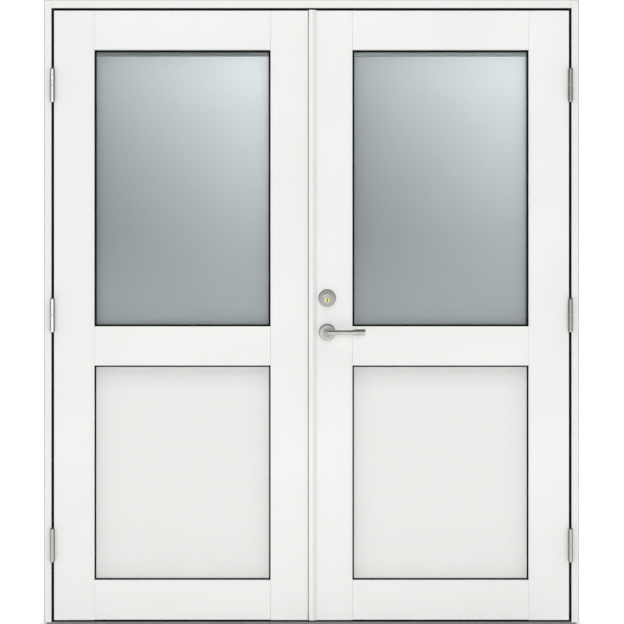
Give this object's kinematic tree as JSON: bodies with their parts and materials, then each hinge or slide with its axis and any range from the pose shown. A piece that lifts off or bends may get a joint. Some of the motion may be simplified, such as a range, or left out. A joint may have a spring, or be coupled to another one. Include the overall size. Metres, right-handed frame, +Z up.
{
  "type": "double entrance door",
  "caption": "Outward-opening pair of framed doors with glass above and a board panel below, lever handle, cylinder lock, flush bolts and lift-off hinges.",
  "frame": {"origin": "underside of the threshold, in the middle of its length and of the frame's depth", "axes": "+Z up, -Y towards the outside that the leaves open to, +X to the right seen from outside"},
  "size_m": [1.79, 0.1826, 2.09],
  "materials": {
    "painted_timber": "satin white opaque paint on timber",
    "painted_panel": "satin white opaque paint on board",
    "sill_composite": "grey composite",
    "sill_aluminium": "anodised",
    "black_epdm": "black extruded rubber",
    "grey_seal": "light grey extruded rubber",
    "tinted_glass": "clear float glass with a cool grey cast",
    "spacer_aluminium": "mill finish",
    "satin_steel": "satin stainless",
    "zinc_steel": "bright zinc plated",
    "brass": "turned brass"
  },
  "bodies": {
    "frame": {"frame_head": "painted_timber", "left_jamb": "painted_timber", "right_jamb": "painted_timber", "threshold": "sill_composite", "threshold_rail": "sill_aluminium", "frame_seal": "black_epdm", "bolt_keepers": "zinc_steel", "frame_hinge_halves": "satin_steel", "hinge_pins": "zinc_steel", "hinge_washers": "satin_steel", "frame_hinge_screws": "zinc_steel"},
    "left_leaf": {"left_hinge_stile": "painted_timber", "left_meeting_stile": "painted_timber", "left_top_rail": "painted_timber", "left_middle_rail": "painted_timber", "left_bottom_rail": "painted_timber", "left_outer_pane": "tinted_glass", "left_inner_pane": "tinted_glass", "left_spacer": "spacer_aluminium", "left_gaskets": "black_epdm", "left_beads": "painted_timber", "left_panel": "painted_panel", "left_hinge_halves": "satin_steel", "left_hinge_screws": "zinc_steel", "meeting_seal": "grey_seal", "strike_plate": "zinc_steel", "flush_bolt_plates": "zinc_steel", "left_plate_screws": "zinc_steel"},
    "right_leaf": {"right_hinge_stile": "painted_timber", "right_meeting_stile": "painted_timber", "right_top_rail": "painted_timber", "right_middle_rail": "painted_timber", "right_bottom_rail": "painted_timber", "right_outer_pane": "tinted_glass", "right_inner_pane": "tinted_glass", "right_spacer": "spacer_aluminium", "right_gaskets": "black_epdm", "right_beads": "painted_timber", "right_panel": "painted_panel", "right_hinge_halves": "satin_steel", "right_hinge_screws": "zinc_steel", "cover_strip": "painted_timber", "lock_case": "zinc_steel", "lock_forend": "satin_steel", "forend_screws": "zinc_steel", "rosettes": "satin_steel", "cylinder_ring": "satin_steel", "lock_cylinder": "satin_steel", "thumbturn_rose": "satin_steel"},
    "lever": {"outside_lever": "satin_steel", "inside_lever": "satin_steel", "lever_spindle": "zinc_steel", "lock_follower": "zinc_steel"},
    "latch": {"latch_bolt": "zinc_steel"},
    "bolt": {"deadbolt": "zinc_steel"},
    "plug": {"key_plug": "brass"},
    "turn": {"thumbturn": "satin_steel", "tailpiece": "zinc_steel"},
    "upper_bolt": {"top_bolt": "zinc_steel"},
    "lower_bolt": {"bottom_bolt": "zinc_steel"}
  },
  "joints": [
    {"name": "left_leaf_swing", "type": "hinge", "parent": "frame", "child": "left_leaf", "pos_m": [-0.86575, -0.0615, 1.0355], "axis": [0, 0, -1], "range_deg": [0, 120]},
    {"name": "right_leaf_swing", "type": "hinge", "parent": "frame", "child": "right_leaf", "pos_m": [0.86575, -0.0615, 1.0355], "axis": [0, 0, 1], "range_deg": [0, 120]},
    {"name": "lever_turn", "type": "hinge", "parent": "right_leaf", "child": "lever", "pos_m": [0.0525, -0.0215, 0.9784], "axis": [0, 1, 0], "range_deg": [0, 45], "stiffness_Nm_per_rad": 1.5, "springref_deg": -34.38},
    {"name": "latch_throw", "type": "slide", "parent": "right_leaf", "child": "latch", "axis": [-1, 0, 0], "range_m": [0, 0.011]},
    {"name": "key_turn", "type": "hinge", "parent": "right_leaf", "child": "plug", "pos_m": [0.0525, -0.0215, 1.0859], "axis": [0, 1, 0], "range_deg": [0, 90]},
    {"name": "deadbolt_throw", "type": "slide", "parent": "right_leaf", "child": "bolt", "axis": [-1, 0, 0], "range_m": [0, 0.02]},
    {"name": "thumbturn_turn", "type": "hinge", "parent": "right_leaf", "child": "turn", "pos_m": [0.0525, -0.0215, 1.0859], "axis": [0, 1, 0], "range_deg": [0, 90]},
    {"name": "top_bolt_throw", "type": "slide", "parent": "left_leaf", "child": "upper_bolt", "axis": [0, 0, 1], "range_m": [0, 0.018]},
    {"name": "bottom_bolt_throw", "type": "slide", "parent": "left_leaf", "child": "lower_bolt", "axis": [0, 0, -1], "range_m": [0, 0.012]}
  ],
  "couplings": [
    {"joint": "key_turn", "follows": "deadbolt_throw", "rad_per_m": 78.5},
    {"joint": "thumbturn_turn", "follows": "deadbolt_throw", "rad_per_m": 78.5}
  ]
}
